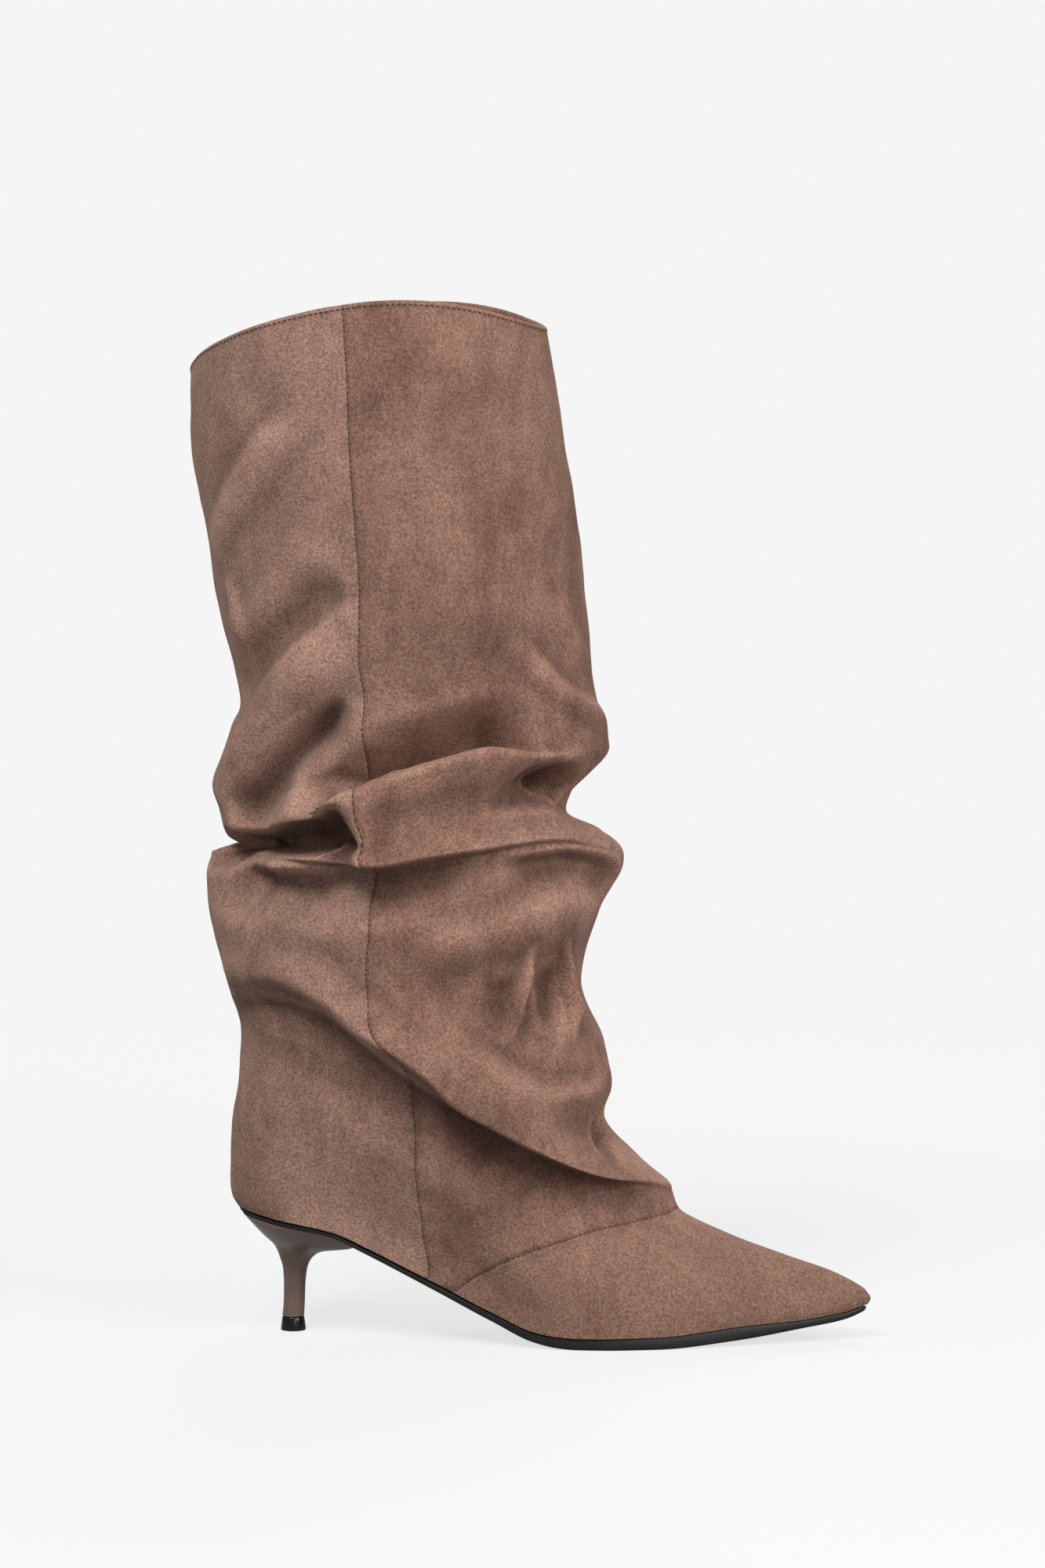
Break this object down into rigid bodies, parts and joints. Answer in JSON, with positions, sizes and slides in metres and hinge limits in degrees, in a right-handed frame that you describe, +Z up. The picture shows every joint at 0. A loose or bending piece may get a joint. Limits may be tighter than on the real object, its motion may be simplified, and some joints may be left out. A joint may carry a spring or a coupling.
{
  "type": "kitten heel boot",
  "caption": "Slouched mid-calf boot with a pointed toe and a slim low heel, with a soft hollow shaft open at the collar.",
  "frame": {"origin": "centre of the heel tip on the floor", "axes": "+X forward to the toe, +Y to the inner side of the foot, +Z up the shaft"},
  "size_m": [0.2729, 0.115, 0.4152],
  "materials": {
    "microfibre_suede": "napped, matte",
    "moulded_rubber": "satin",
    "sock_lining": "matte",
    "painted_heel": "semi-gloss paint",
    "polyurethane_tip": "gloss"
  },
  "bodies": {
    "root": {"upper": "microfibre_suede", "outsole": "moulded_rubber", "insole": "sock_lining", "heel_block": "painted_heel", "top_lift": "polyurethane_tip"}
  },
  "joints": []
}
